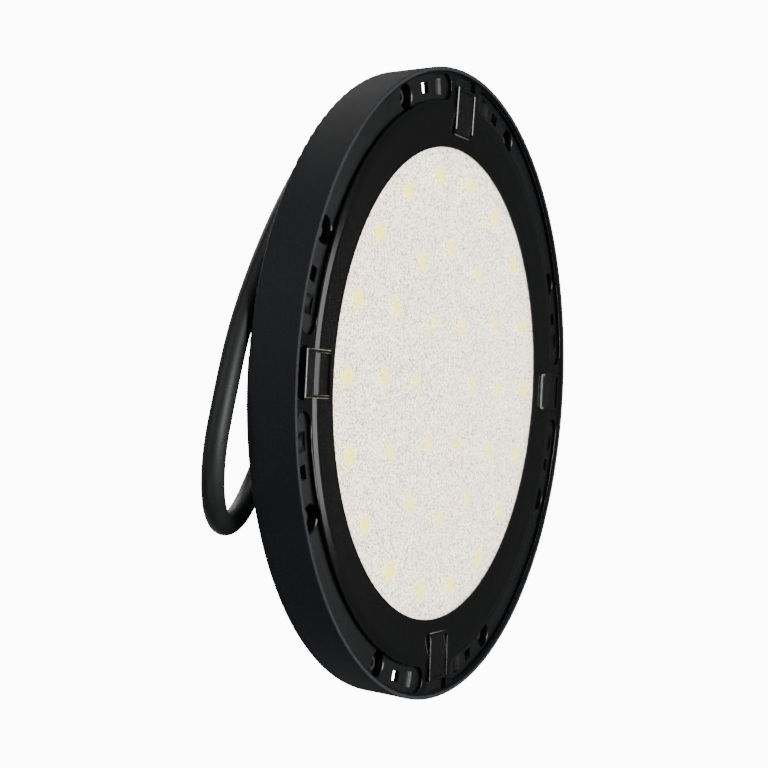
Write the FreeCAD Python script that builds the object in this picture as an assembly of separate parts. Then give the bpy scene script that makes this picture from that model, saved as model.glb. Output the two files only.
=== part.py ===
import FreeCAD, Part
import math
import os
from FreeCAD import Vector

# High bay light, hung face down from its eye. Sizes in millimetres, +Z up.
# Z = 0 is the front plane of the rim, and the Z axis is the light's own axis.

# Screw heads as shares of their own size, and the eased top of a capacitor can.
HEAD_EASE = 0.33
SOCKET_FLATS = 0.8
SOCKET_FLOOR = 0.4
CAN_EASE = 1.0

# Clearances between pieces that fit together.
FIT = 0.1
SCREW_FIT = 0.05
EDGE_MISS = 0.04
LOOSE = 0.3

# Skirt and rim of the housing.
RIM_R = 140.0
SKIRT_HEIGHT = 22.5
SKIRT_DRAFT = 1.2
SKIRT_WALL = 1.8
SKIRT_REAR_WALL = 2.0
RIM_ROUND = 0.5
REAR_ROUND = 1.4

# Front ring: bead, slope and lands, as depths behind the rim plane.
RING_GAP = 0.2
RING_WIDTH = 34.6
RING_EDGE = 0.6
CREST_INSET = 18.7
CREST_Z = 0.95
CREST_EASE = 1.0
BEVEL_WIDTH = 3.6
LAND_Z = 1.45
RING_FLOOR = 2.0
RING_SKIN = 2.2
RING_GROOVE_IN = 1.2

# Long pockets between the clips.
POCKET_INSET = 14.1
POCKET_WALL = 1.0
POCKET_Z = 3.2
POCKET_END_DEG = 6.3
POCKET_ROUND = 0.3

# Small windows and hollows in the pocket floors, angles from the nearest clip.
SLOT_DEG = 16.7
SLOT_WIDTH = 5.9
SLOT_LENGTH = 4.7
HOLLOW_DEG = 11.5
HOLLOW_R = 8.0
HOLLOW_DEPTH = 1.0
HOLLOW_LENGTH = 7.0

# Screws that hold the ring, in deep cups.
CLIP_COUNT = 4
SCREW_DEG = 25.0
SCREW_INSET = 9.1
CUP_R = 5.5
CUP_CHAMFER = 0.4
CUP_WALL = 1.0
CUP_FLOOR_Z = 8.6
CUP_FLOOR = 2.0
RING_SCREW_R = 1.95
RING_SCREW_LENGTH = 9.5
RING_HEAD_R = 3.7
RING_HEAD = 2.6

# Clips over the bead, each a plate with a raised border.
CLIP_WIDTH = 18.8
CLIP_LENGTH = 21.2
CLIP_INSET = 7.8
CLIP_PLATE = 0.45
CLIP_LEG = 1.5
CLIP_LEG_Z = 6.4
CLIP_RIB = 1.4
CLIP_TOP_Z = 0.05
CLIP_BEND_Z = 0.5
CLIP_BEND = 2.3
CLIP_CORNER = 2.2
CLIP_EASE = 0.35
NOTCH_WIDTH = 20.6

# Lens, gasket and LED board.
LENS_Z = 3.9
LENS_THICK = 2.0
GASKET_THICK = 1.0
GASKET_WIDTH = 4.0
GASKET_EDGE = 0.6
BOARD_EDGE = 5.5
BOARD_THICK = 1.6
BOARD_GAP = 2.3
PAD_THICK = 0.5
CHIP_SIZE = 3.5
CHIP_THICK = 0.9
LED_RINGS = ((0.304, 6, 30.0), (0.598, 12, 0.0), (0.922, 18, 10.0))
BOARD_SCREW_SHARE = 0.762
BOARD_SCREW_COUNT = 6
BOARD_SCREW_R = 1.45
BOARD_HEAD_R = 2.8
BOARD_HEAD = 1.6
BOARD_SCREW_LENGTH = 5.2

# Pan of the housing, behind the board.
PAN_INSET = 22.5
PAN_LIP = 4.9
SEAT_WIDTH = 6.1
PAN_PLATE = 4.3
RIB_THICK = 3.0
RIB_START = 0.4
POST_R = 5.0
FIN_COUNT = 36
FIN_THICK = 2.0
FIN_GAP = 2.0
FIN_DROP = 0.5
HUB_RIM = 0.5
HUB_THICK = 1.4

# Driver cover on the back.
COVER_R = 52.0
COVER_DRAFT = 1.5
COVER_TOP_Z = 52.0
COVER_WALL = 2.5
COVER_ROOF = 3.0
COVER_ROUND = 5.0
FLANGE_WIDTH = 8.0
FLANGE_THICK = 3.5
COVER_GASKET = 1.0
COVER_SCREW_COUNT = 4
COVER_SCREW_DEG = 45.0
COVER_SCREW_R = 1.95
COVER_HEAD_R = 3.4
COVER_HEAD = 2.4
COVER_SCREW_LENGTH = 7.5

# Hanging eye.
EYE_R = 9.5
EYE_BAR = 6.0
EYE_WIDTH = 7.5
EYE_ROUND = 2.4
COLLAR_R = 12.0
COLLAR = 3.0
EYE_NECK = 2.0
EYE_SHANK_R = 4.9
EYE_SHANK = 13.5
EYE_WASHER_R = 10.0
EYE_WASHER = 1.5
EYE_NUT_FLATS = 17.0
EYE_NUT = 8.0

# Breather plug in the cover's roof.
VENT_X = -34.0
VENT_R = 3.0
VENT_STUB = 7.0
VENT_HEAD_R = 6.5
VENT_HEAD = 3.5

# Cable gland and lead.
LEAD_D = 9.0
GLAND_DEG = 25.0
GLAND_Z = 36.0
GLAND_BOSS_R = 12.4
GLAND_BOSS_OUT = 1.5
GLAND_BOSS_IN = 3.5
GLAND_THREAD_R = 8.0
GLAND_FLATS = 22.0
GLAND_HEX = 4.0
GLAND_NECK_R = 7.6
GLAND_NECK = 5.0
LOCK_NUT = 4.0
DOME_FLATS = 20.0
DOME_HEX = 5.5
DOME = 3.4
DOME_END_R = 7.0
SEAL_LENGTH = 5.0
SEAL_WALL = 1.8
SLEEVE_R = 5.9
SLEEVE_TIP_R = 5.15
SLEEVE_OUT = 8.5
LEAD_JOINT = 2.1
LEAD_TAIL = 1.5

LEAD_FIRST_RUN = 12.4
ARC_SHARE = 0.45

# The lead's route after its first straight run, chosen by eye, ending on the fins.
LEAD_POINTS = (
    (85.8, 36.1, 35.5),
    (98.2, 34.5, 34.8),
    (109.7, 29.5, 34),
    (119.3, 21.5, 33),
    (126.3, 11.1, 32),
    (130.1, -0.8, 31),
    (130.5, -13.3, 30),
    (127.3, -25.4, 29.2),
    (117.5, -46.5, 28.5),
    (103, -70, 28),
    (84.5, -91.5, 28.2),
    (63, -108, 28.8),
    (41, -122, 29),
    (16, -135, 29),
    (-9, -144, 28),
    (-33, -147, 30),
    (-53, -139, 34),
    (-62, -120, 41),
    (-58, -99, 47),
    (-44, -83, 50),
    (-23, -76, 46),
    (-1, -77, 38),
    (21, -79, 30),
    (43, -74, 27),
    (61, -60, 27),
)
CORE_R = 1.45
CORE_PITCH_R = 2.0
CORE_START = 0.3
CORE_LENGTH = 26.0
CORE_SPREAD_DEG = 7.0
CORE_NAMES = ("live_core", "neutral_core", "earth_core")
FERRULE_COLLAR_R = 2.0
FERRULE_COLLAR = 6.0
FERRULE_PIN_R = 1.0
FERRULE_PIN = 8.0

# Driver electronics inside the cover.
DRIVER_BOARD_R = 39.0
DRIVER_BOARD = 1.6
SPACER = 11.0
SPACER_R = 3.0
SPACER_PITCH_R = 33.0
SPACER_DEG = 45.0
SPACER_COUNT = 4
SPACER_SCREW_R = 1.45
SPACER_SCREW_LENGTH = 8.0
SPACER_HEAD_R = 2.75
SPACER_HEAD = 2.0
CORE_HOLE_R = 5.0
GROMMET_BORE = 3.2
GROMMET_LIP_R = 7.5
GROMMET_LIP = 1.2
WIRE_R = 0.9
WIRE_HALF_GAP = 1.5
BOARD_HOLE_R = 3.0
CONNECTOR = (10.0, 7.0, 2.0)
TERMINAL = (10.0, 16.0, 12.0)
TERMINAL_R = 27.0
TRANSFORMER = (22.0, 20.0, 15.0)
TRANSFORMER_AT = (-22.5, 7.0)
BOBBIN = (16.0, 25.0, 10.0)
INPUT_CAP = (8.0, 20.0)
INPUT_CAP_AT = (4.0, -27.0)
OUTPUT_CAP = (5.0, 16.0)
OUTPUT_CAP_AT = (-25.0, -13.0)
FILM_CAP = (16.0, 8.0, 14.0)
FILM_CAP_AT = (2.0, 28.0)
CHOKE = (8.0, 4.0, 8.0)
CHOKE_AT = (25.0, -8.0)
SINK_PLATE = (18.0, 2.0, 15.0)
SINK_AT = (-10.0, -16.0)
EARTH_SCREW_R = 44.0
EARTH_SCREW_DEG = 95.0
EARTH_HEAD_R = 3.4
EARTH_HEAD = 2.4
EARTH_SHANK = 4.5

# Sizes that follow from the ones above.
SKIRT_IN_R = RIM_R - SKIRT_WALL
RING_R = SKIRT_IN_R - RING_GAP
WINDOW_R = RIM_R - RING_WIDTH
CREST_R = RIM_R - CREST_INSET
BEVEL_R = CREST_R + BEVEL_WIDTH
POCKET_IN_R = RIM_R - POCKET_INSET
SCREW_PITCH_R = RIM_R - SCREW_INSET
CLIP_OUT_R = RIM_R - CLIP_INSET
CLIP_IN_R = CLIP_OUT_R - CLIP_LENGTH
CLIP_SWEEP_R = math.hypot(CLIP_OUT_R, CLIP_WIDTH / 2)
PAN_R = RIM_R - PAN_INSET
SEAT_R = PAN_R - PAN_LIP
LENS_R = SEAT_R - 2 * LOOSE
PAN_INNER_R = SEAT_R - SEAT_WIDTH
BOARD_R = PAN_INNER_R - BOARD_EDGE
BOARD_SCREW_PITCH_R = BOARD_R * BOARD_SCREW_SHARE
FLANGE_R = COVER_R + FLANGE_WIDTH
COVER_SCREW_PITCH_R = COVER_R + FLANGE_WIDTH / 2
HUB_R = FLANGE_R + HUB_RIM
FIN_IN_R = FLANGE_R + FIN_GAP
GLAND_SEAT_R = COVER_R + GLAND_BOSS_OUT
GLAND_INNER_R = COVER_R - COVER_WALL - GLAND_BOSS_IN
LEAD_INNER_R = GLAND_INNER_R - LOCK_NUT - LEAD_TAIL
RING_BACK_Z = POCKET_Z + RING_FLOOR
POCKET_OUT_R = RING_R - POCKET_WALL
POCKET_MID_R = (POCKET_IN_R + POCKET_OUT_R) / 2
POCKET_END_R = (POCKET_OUT_R - POCKET_IN_R) / 2
RING_SLOPE = (LENS_Z - RING_EDGE - CREST_Z) / (CREST_R - WINDOW_R)
CUP_BACK_Z = CUP_FLOOR_Z + CUP_FLOOR
LENS_BACK_Z = LENS_Z + LENS_THICK
SEAT_Z = LENS_BACK_Z + GASKET_THICK
BOARD_Z = LENS_BACK_Z + BOARD_GAP
PAN_FLOOR_Z = BOARD_Z + BOARD_THICK + PAD_THICK
PAN_BACK_Z = PAN_FLOOR_Z + PAN_PLATE
HUB_Z = PAN_BACK_Z + HUB_THICK
FIN_TOP_Z = SKIRT_HEIGHT - FIN_DROP
COVER_BASE_Z = HUB_Z + COVER_GASKET
FLANGE_TOP_Z = COVER_BASE_Z + FLANGE_THICK
ROOF_Z = COVER_TOP_Z - COVER_ROOF
DRIVER_BOARD_Z = HUB_Z + SPACER
DRIVER_TOP_Z = DRIVER_BOARD_Z + DRIVER_BOARD
EYE_Z = COVER_TOP_Z + COLLAR + EYE_R + EYE_BAR - EYE_NECK
CLIP_ANGLES = [360.0 / CLIP_COUNT * i for i in range(CLIP_COUNT)]
SCREW_ANGLES = [a + s * SCREW_DEG for a in CLIP_ANGLES for s in (-1, 1)]
DOME_START_R = GLAND_SEAT_R + GLAND_HEX + FIT
DOME_END = DOME_START_R + DOME_HEX + DOME
LEAD_START_R = DOME_END + LEAD_JOINT
Z_AXIS = Vector(0, 0, 1)
ORIGIN = Vector(0, 0, 0)
DEEP = 200.0


def polar(radius, degrees, z=0.0):
    """A point at a radius and an angle from +X."""
    a = math.radians(degrees)
    return Vector(radius * math.cos(a), radius * math.sin(a), z)


def turned(shape, degrees):
    """A copy of a shape, turned about the light's axis."""
    copy = shape.copy()
    copy.rotate(ORIGIN, Z_AXIS, degrees)
    return copy


def around(shape, angles):
    """Copies of a shape at several angles about the light's axis."""
    return [turned(shape, a) for a in angles]


def revolved(points):
    """A solid of revolution about Z from a closed section of (radius, z) points."""
    corners = [Vector(r, 0, z) for r, z in points]
    wire = Part.makePolygon(corners + corners[:1])
    return Part.Face(wire).revolve(ORIGIN, Z_AXIS, 360)


def disc(radius, bottom, top):
    return Part.makeCylinder(radius, top - bottom, Vector(0, 0, bottom))


def tube(outer, inner, bottom, top):
    return disc(outer, bottom, top).cut(disc(inner, bottom, top))


def post(radius, at, bottom, top):
    """A round pin parallel to Z at a point's x and y."""
    return Part.makeCylinder(radius, top - bottom, Vector(at.x, at.y, bottom))


def block(size, at, bottom):
    """A box of (x, y, z) size, centred on (x, y) and standing on a height."""
    corner = Vector(at[0] - size[0] / 2, at[1] - size[1] / 2, bottom)
    return Part.makeBox(size[0], size[1], size[2], corner)


def hexagon(flats, start, length, direction):
    """A six-sided prism, measured across its flats."""
    r = flats / math.sqrt(3)
    corners = [polar(r, 60.0 * i) for i in range(7)]
    prism = Part.Face(Part.makePolygon(corners)).extrude(Vector(0, 0, length))
    prism.Placement = FreeCAD.Placement(start, FreeCAD.Rotation(Z_AXIS, direction))
    return prism


def screw(head_r, head, shank_r, length, at, seat_z, up):
    """A round-headed screw on a seat; up is +1 where the head stands above the seat."""
    direction = Vector(0, 0, up)
    seat = Vector(at.x, at.y, seat_z)
    crown = Part.makeCylinder(head_r, head, seat, direction)
    rim = [e for e in crown.Edges if abs(e.CenterOfMass.z - seat_z) > head - FIT]
    crown = crown.makeFillet(head * HEAD_EASE, rim[:1])
    socket = hexagon(head_r * SOCKET_FLATS, seat + direction * (head * SOCKET_FLOOR), head, direction)
    shank = Part.makeCylinder(shank_r, length, seat, -direction)
    return crown.cut(socket).fuse(shank).removeSplitter()


def edges_where(shape, test):
    return [e for e in shape.Edges if test(e)]


def save(name, shape):
    """Write one node; a list of pieces goes out as a group of separate solids."""
    pieces = shape if isinstance(shape, list) else shape.Solids
    solids = [s for piece in pieces for s in piece.Solids]
    result = solids[0] if len(solids) == 1 else Part.makeCompound(solids)
    for s in solids:
        if not s.isValid():
            print("not valid:", name)
    low = result.BoundBox.ZMin
    high = result.BoundBox.ZMax
    print(f"{name:20s} solids {len(solids):3d}  volume {result.Volume:10.1f}  z {low:7.2f} {high:7.2f}")
    result.exportStep(f"parts/{name}.step")


def skirt():
    """The thin outer wall, with its draft and its rounded edges."""
    rear_r = RIM_R - SKIRT_DRAFT
    section = [
        (SKIRT_IN_R, 0),
        (RIM_R, 0),
        (rear_r, SKIRT_HEIGHT),
        (rear_r - SKIRT_REAR_WALL, SKIRT_HEIGHT),
        (SKIRT_IN_R, RING_BACK_Z + SKIRT_WALL),
    ]
    wall = revolved(section)
    front = edges_where(wall, lambda e: e.BoundBox.ZMax < FIT)
    wall = wall.makeFillet(RIM_ROUND, front)
    rear = edges_where(wall, lambda e: e.BoundBox.ZMin > SKIRT_HEIGHT - FIT and e.BoundBox.XMax > rear_r - FIT)
    return wall.makeFillet(REAR_ROUND, rear)


def pan():
    """The dish that holds the board, with the lens seat round its mouth."""
    return revolved([
        (0, PAN_FLOOR_Z),
        (PAN_INNER_R, PAN_FLOOR_Z),
        (PAN_INNER_R, SEAT_Z),
        (SEAT_R, SEAT_Z),
        (SEAT_R, RING_BACK_Z),
        (PAN_R, RING_BACK_Z),
        (PAN_R, PAN_BACK_Z),
        (HUB_R, PAN_BACK_Z),
        (HUB_R, HUB_Z),
        (0, HUB_Z),
    ])


def rib():
    """One rib from the pan to the skirt, with the post for a ring screw."""
    bottom = CUP_BACK_Z + RIB_START
    length = RING_R - PAN_R + RIB_THICK
    corner = Vector(PAN_R - RIB_THICK, -RIB_THICK / 2, bottom)
    web = Part.makeBox(length, RIB_THICK, FIN_TOP_Z - bottom, corner)
    pillar = post(POST_R, Vector(SCREW_PITCH_R, 0, 0), CUP_BACK_Z, FIN_TOP_Z)
    return web.fuse(pillar)


def fin():
    corner = Vector(FIN_IN_R, -FIN_THICK / 2, PAN_BACK_Z - FIT)
    return Part.makeBox(PAN_R - FIN_IN_R - FIT, FIN_THICK, FIN_TOP_Z - PAN_BACK_Z + FIT, corner)


def board_screw_points():
    step = 360.0 / BOARD_SCREW_COUNT
    return [polar(BOARD_SCREW_PITCH_R, step * (i + 0.5)) for i in range(BOARD_SCREW_COUNT)]


def cover_screw_points():
    step = 360.0 / COVER_SCREW_COUNT
    return [polar(COVER_SCREW_PITCH_R, COVER_SCREW_DEG + step * i) for i in range(COVER_SCREW_COUNT)]


def spacer_points():
    step = 360.0 / SPACER_COUNT
    return [polar(SPACER_PITCH_R, SPACER_DEG + step * i) for i in range(SPACER_COUNT)]


def housing():
    body = skirt().multiFuse([pan()] + around(rib(), SCREW_ANGLES))
    fin_step = 360.0 / FIN_COUNT
    body = body.multiFuse(around(fin(), [fin_step * i for i in range(FIN_COUNT)]))
    drill = post(RING_SCREW_R + SCREW_FIT, Vector(SCREW_PITCH_R, 0, 0), CUP_BACK_Z,
                 CUP_FLOOR_Z + RING_SCREW_LENGTH + LOOSE)
    tools = around(drill, SCREW_ANGLES)
    for p in board_screw_points():
        tools.append(post(BOARD_SCREW_R + SCREW_FIT, p, PAN_FLOOR_Z, BOARD_Z + BOARD_SCREW_LENGTH + LOOSE))
    for p in cover_screw_points():
        tools.append(post(COVER_SCREW_R + SCREW_FIT, p, FLANGE_TOP_Z - COVER_SCREW_LENGTH - LOOSE, HUB_Z))
    earth = polar(EARTH_SCREW_R, EARTH_SCREW_DEG)
    tools.append(post(COVER_SCREW_R + SCREW_FIT, earth, HUB_Z - EARTH_SHANK - LOOSE, HUB_Z))
    tools.append(disc(CORE_HOLE_R, PAN_FLOOR_Z, HUB_Z))
    return body.cut(Part.makeCompound(tools)).removeSplitter()


def eased_corner(before, corner, after, share):
    """The arc that rounds a corner: its start, middle, end, radius and turn."""
    into = corner - before
    out = after - corner
    reach = share * min(into.Length, out.Length)
    into.normalize()
    out.normalize()
    half_turn = into.getAngle(out) / 2
    radius = reach / math.tan(half_turn)
    inward = out - into
    inward.normalize()
    middle = corner + inward * (radius / math.cos(half_turn) - radius)
    return corner - into * reach, middle, corner + out * reach, radius, 2 * half_turn


def front_section(lift, inner_r, outer_r, back_z):
    """The section of the ring's front surface, raised by a lift, closed at a back height."""
    first = Vector(inner_r, 0, CREST_Z - lift + RING_SLOPE * (CREST_R - inner_r))
    crest = Vector(CREST_R, 0, CREST_Z - lift)
    foot = Vector(BEVEL_R, 0, LAND_Z - lift)
    last = Vector(outer_r, 0, LAND_Z - lift)
    start, middle, end, radius, turn = eased_corner(first, crest, foot, CREST_EASE / BEVEL_WIDTH)
    edges = [
        Part.LineSegment(first, start),
        Part.Arc(start, middle, end),
        Part.LineSegment(end, foot),
        Part.LineSegment(foot, last),
    ]
    rest = Part.makePolygon([last, Vector(outer_r, 0, back_z), Vector(inner_r, 0, back_z), first])
    return Part.Wire([e.toShape() for e in edges] + rest.Edges)


def pocket():
    """One long pocket between two clips, with round ends."""
    half = math.degrees(POCKET_END_R / POCKET_MID_R)
    first = POCKET_END_DEG + half
    last = CLIP_ANGLES[1] - first
    middle = (first + last) / 2
    path = [
        Part.Arc(polar(POCKET_OUT_R, first), polar(POCKET_OUT_R, middle), polar(POCKET_OUT_R, last)),
        Part.Arc(polar(POCKET_OUT_R, last), polar(POCKET_MID_R, last + half), polar(POCKET_IN_R, last)),
        Part.Arc(polar(POCKET_IN_R, last), polar(POCKET_IN_R, middle), polar(POCKET_IN_R, first)),
        Part.Arc(polar(POCKET_IN_R, first), polar(POCKET_MID_R, first - half), polar(POCKET_OUT_R, first)),
    ]
    face = Part.Face(Part.Wire([e.toShape() for e in path]))
    return face.extrude(Vector(0, 0, POCKET_Z))


def lane(width):
    """A long box along +X that keeps the part of a ring nearest a clip."""
    return Part.makeBox(DEEP, width, DEEP, Vector(0, -width / 2, -DEEP / 2))


def slot():
    """A small window through the pocket floor."""
    corner = Vector(POCKET_MID_R - SLOT_LENGTH / 2, -SLOT_WIDTH / 2, 0)
    return Part.makeBox(SLOT_LENGTH, SLOT_WIDTH, RING_BACK_Z + FIT, corner)


def hollow():
    """A scooped hollow in the pocket floor, its axis along the radius."""
    depth_z = POCKET_Z + HOLLOW_DEPTH
    start = Vector(POCKET_MID_R - HOLLOW_LENGTH / 2, 0, depth_z - HOLLOW_R)
    scoop = Part.makeCylinder(HOLLOW_R, HOLLOW_LENGTH, start, Vector(1, 0, 0))
    keep = Part.makeBox(DEEP, DEEP, RING_BACK_Z, Vector(0, -DEEP / 2, LAND_Z))
    return scoop.common(keep)


def mirrored_angles(offset):
    return [a + s * offset for a in CLIP_ANGLES for s in (-1, 1)]


def front_ring():
    wire = front_section(0.0, WINDOW_R, RING_R, RING_BACK_Z)
    ring = Part.Face(wire).revolve(ORIGIN, Z_AXIS, 360)
    seat = tube(LENS_R + LOOSE, WINDOW_R - FIT, LENS_Z, RING_BACK_Z)
    groove = tube(POCKET_IN_R - RING_GROOVE_IN, PAN_R + LOOSE, LAND_Z + RING_SKIN, RING_BACK_Z)
    ring = ring.cut(seat).cut(groove)
    ring = ring.cut(Part.makeCompound(around(pocket(), CLIP_ANGLES)))
    ring = ring.makeFillet(POCKET_ROUND, edges_where(ring, on_pocket_rim))
    cup = post(CUP_R + CUP_WALL, Vector(SCREW_PITCH_R, 0, 0), POCKET_Z + FIT, CUP_BACK_Z)
    ring = ring.multiFuse(around(cup, SCREW_ANGLES))
    bore = post(CUP_R, Vector(SCREW_PITCH_R, 0, 0), 0, CUP_FLOOR_Z)
    mouth = Part.makeCone(CUP_R + CUP_CHAMFER, CUP_R, CUP_CHAMFER, Vector(SCREW_PITCH_R, 0, POCKET_Z))
    mouth = mouth.common(tube(POCKET_OUT_R, POCKET_IN_R, POCKET_Z, RING_BACK_Z))
    hole = post(RING_SCREW_R + LOOSE, Vector(SCREW_PITCH_R, 0, 0), CUP_FLOOR_Z, CUP_BACK_Z)
    tools = around(bore, SCREW_ANGLES) + around(mouth, SCREW_ANGLES) + around(hole, SCREW_ANGLES)
    tools += around(slot(), mirrored_angles(SLOT_DEG))
    tools += around(hollow(), mirrored_angles(HOLLOW_DEG))
    notch_in = CLIP_OUT_R - CLIP_LEG - FIT
    notch = tube(RIM_R, notch_in, 0, POCKET_Z).common(lane(NOTCH_WIDTH))
    leg_hole = tube(CLIP_SWEEP_R + FIT, notch_in, 0, RING_BACK_Z).common(lane(CLIP_WIDTH + 2 * FIT))
    tools += around(notch.fuse(leg_hole), CLIP_ANGLES)
    return ring.cut(Part.makeCompound(tools)).removeSplitter()


def on_pocket_rim(edge):
    """True for an edge round a pocket's mouth."""
    box = edge.BoundBox
    middle = edge.valueAt((edge.FirstParameter + edge.LastParameter) / 2)
    radius = math.hypot(middle.x, middle.y)
    on_land = abs(box.ZMin - LAND_Z) < FIT and abs(box.ZMax - LAND_Z) < FIT
    return on_land and POCKET_IN_R - FIT < radius < POCKET_OUT_R + FIT


def clip():
    """One clip: a bordered plate over the bead, with a leg down into the ring's notch."""
    lift = CLIP_PLATE + FIT
    tip_z = CREST_Z - lift + RING_SLOPE * (CREST_R - CLIP_IN_R)
    side = [
        Vector(CLIP_IN_R, 0, CLIP_LEG_Z),
        Vector(CLIP_IN_R, 0, tip_z),
        Vector(CLIP_IN_R + CLIP_BEND, 0, CLIP_BEND_Z),
        Vector(CLIP_OUT_R, 0, CLIP_TOP_Z),
        Vector(CLIP_OUT_R, 0, CLIP_LEG_Z),
    ]
    body = Part.Face(Part.makePolygon(side + side[:1])).extrude(Vector(0, CLIP_WIDTH, 0))
    body.translate(Vector(0, -CLIP_WIDTH / 2, 0))
    body = body.makeChamfer(CLIP_EASE, edges_where(body, on_clip_border))
    blank = block((CLIP_LENGTH, CLIP_WIDTH, CLIP_LEG_Z), (CLIP_OUT_R - CLIP_LENGTH / 2, 0), 0)
    corners = edges_where(blank, lambda e: e.BoundBox.XMax < CLIP_IN_R + FIT and e.BoundBox.YLength < FIT)
    body = body.common(blank.makeFillet(CLIP_CORNER, corners))
    trough = Part.makeBox(CLIP_LENGTH - 2 * CLIP_RIB, CLIP_WIDTH - 2 * CLIP_RIB, CLIP_LEG_Z,
                          Vector(CLIP_IN_R + CLIP_RIB, CLIP_RIB - CLIP_WIDTH / 2, -FIT))
    floor = Part.Face(front_section(lift, WINDOW_R, RING_R, CLIP_LEG_Z)).revolve(ORIGIN, Z_AXIS, 360)
    under = Part.Face(front_section(FIT, WINDOW_R, CLIP_OUT_R - CLIP_LEG, CLIP_LEG_Z + FIT))
    under = under.revolve(ORIGIN, Z_AXIS, 360)
    return body.cut(trough.cut(floor)).cut(under).cut(rib_bevels()).removeSplitter()


def rib_bevels():
    """Two square bars on edge that bevel the ribs' inner edges."""
    fall = (CLIP_BEND_Z - CLIP_TOP_Z) / (CLIP_LENGTH - CLIP_BEND)
    bars = []
    for side in (-1, 1):
        y = side * (CLIP_WIDTH / 2 - CLIP_RIB - EDGE_MISS)
        start = Vector(CLIP_IN_R + CLIP_BEND, y, CLIP_BEND_Z - EDGE_MISS)
        end = Vector(CLIP_OUT_R - CLIP_RIB, y, CLIP_TOP_Z + CLIP_RIB * fall - EDGE_MISS)
        corners = [polar(CLIP_EASE, 90.0 * i) for i in range(5)]
        bar = Part.Face(Part.makePolygon(corners)).extrude(Vector(0, 0, (end - start).Length))
        bar.Placement = FreeCAD.Placement(start, FreeCAD.Rotation(Z_AXIS, end - start))
        bars.append(bar)
    return Part.makeCompound(bars)


def on_clip_border(edge):
    """True for an edge round a clip's front face that isn't its bend."""
    box = edge.BoundBox
    along = box.XLength > FIT and box.YLength < FIT
    at_end = box.XMin > CLIP_OUT_R - FIT or box.XMax < CLIP_IN_R + FIT
    across = box.YLength > FIT and at_end
    return (along or across) and box.ZMax < CLIP_LEG_Z - FIT


def lens():
    plate = disc(LENS_R, LENS_Z, LENS_BACK_Z)
    front = edges_where(plate, lambda e: e.BoundBox.ZMax < LENS_Z + FIT and len(e.Vertexes) == 1)
    return plate.makeChamfer(LOOSE, front)


def led_chips():
    chips = []
    for part_of_board, count, phase in LED_RINGS:
        radius = part_of_board * BOARD_R
        for i in range(count):
            angle = phase + 360.0 / count * i
            chip = block((CHIP_SIZE, CHIP_SIZE, CHIP_THICK), (radius, 0), BOARD_Z - CHIP_THICK)
            chips.append(turned(chip, angle))
    return chips


def led_board():
    board = disc(BOARD_R, BOARD_Z, BOARD_Z + BOARD_THICK)
    tools = [post(BOARD_SCREW_R + LOOSE, p, BOARD_Z, BOARD_Z + BOARD_THICK) for p in board_screw_points()]
    tools.append(disc(BOARD_HOLE_R, BOARD_Z, BOARD_Z + BOARD_THICK))
    return board.cut(Part.makeCompound(tools))


def thermal_pad():
    pad = disc(BOARD_R, BOARD_Z + BOARD_THICK, PAN_FLOOR_Z)
    tools = [post(BOARD_SCREW_R + LOOSE, p, BOARD_Z, PAN_FLOOR_Z) for p in board_screw_points()]
    tools.append(disc(BOARD_HOLE_R, BOARD_Z, PAN_FLOOR_Z))
    return pad.cut(Part.makeCompound(tools))


def radial_frame():
    """The gland's own frame: its outward direction and a point at a radius along it."""
    direction = polar(1.0, GLAND_DEG)
    return direction, lambda radius: polar(radius, GLAND_DEG, GLAND_Z)


def along_gland(radius, start, end):
    """A round bar on the gland's axis between two radii from the light's axis."""
    direction, at = radial_frame()
    return Part.makeCylinder(radius, end - start, at(start), direction)


def driver_cover():
    top_r = COVER_R - COVER_DRAFT
    shell = revolved([(0, COVER_BASE_Z), (COVER_R, COVER_BASE_Z), (top_r, COVER_TOP_Z), (0, COVER_TOP_Z)])
    crown = edges_where(shell, lambda e: e.BoundBox.ZMin > COVER_TOP_Z - FIT and e.BoundBox.XMax > top_r - FIT)
    shell = shell.makeFillet(COVER_ROUND, crown)
    flange = disc(FLANGE_R, COVER_BASE_Z, FLANGE_TOP_Z)
    boss = along_gland(GLAND_BOSS_R, GLAND_INNER_R, GLAND_SEAT_R)
    inside = revolved([
        (0, COVER_BASE_Z),
        (COVER_R - COVER_WALL, COVER_BASE_Z),
        (top_r - COVER_WALL, ROOF_Z),
        (0, ROOF_Z),
    ])
    shell = shell.fuse(flange).cut(inside).fuse(boss)
    tools = [post(COVER_SCREW_R + LOOSE, p, COVER_BASE_Z, FLANGE_TOP_Z) for p in cover_screw_points()]
    tools.append(along_gland(GLAND_THREAD_R + SCREW_FIT, 0, GLAND_SEAT_R))
    tools.append(disc(EYE_SHANK_R + FIT, ROOF_Z, COVER_TOP_Z))
    tools.append(post(VENT_R + SCREW_FIT, Vector(VENT_X, 0, 0), ROOF_Z, COVER_TOP_Z))
    return shell.cut(Part.makeCompound(tools)).removeSplitter()


def cover_gasket():
    band = tube(FLANGE_R - LOOSE, COVER_R - COVER_WALL, HUB_Z, COVER_BASE_Z)
    holes = [post(COVER_SCREW_R + LOOSE, p, HUB_Z, COVER_BASE_Z) for p in cover_screw_points()]
    return band.cut(Part.makeCompound(holes))


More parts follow.
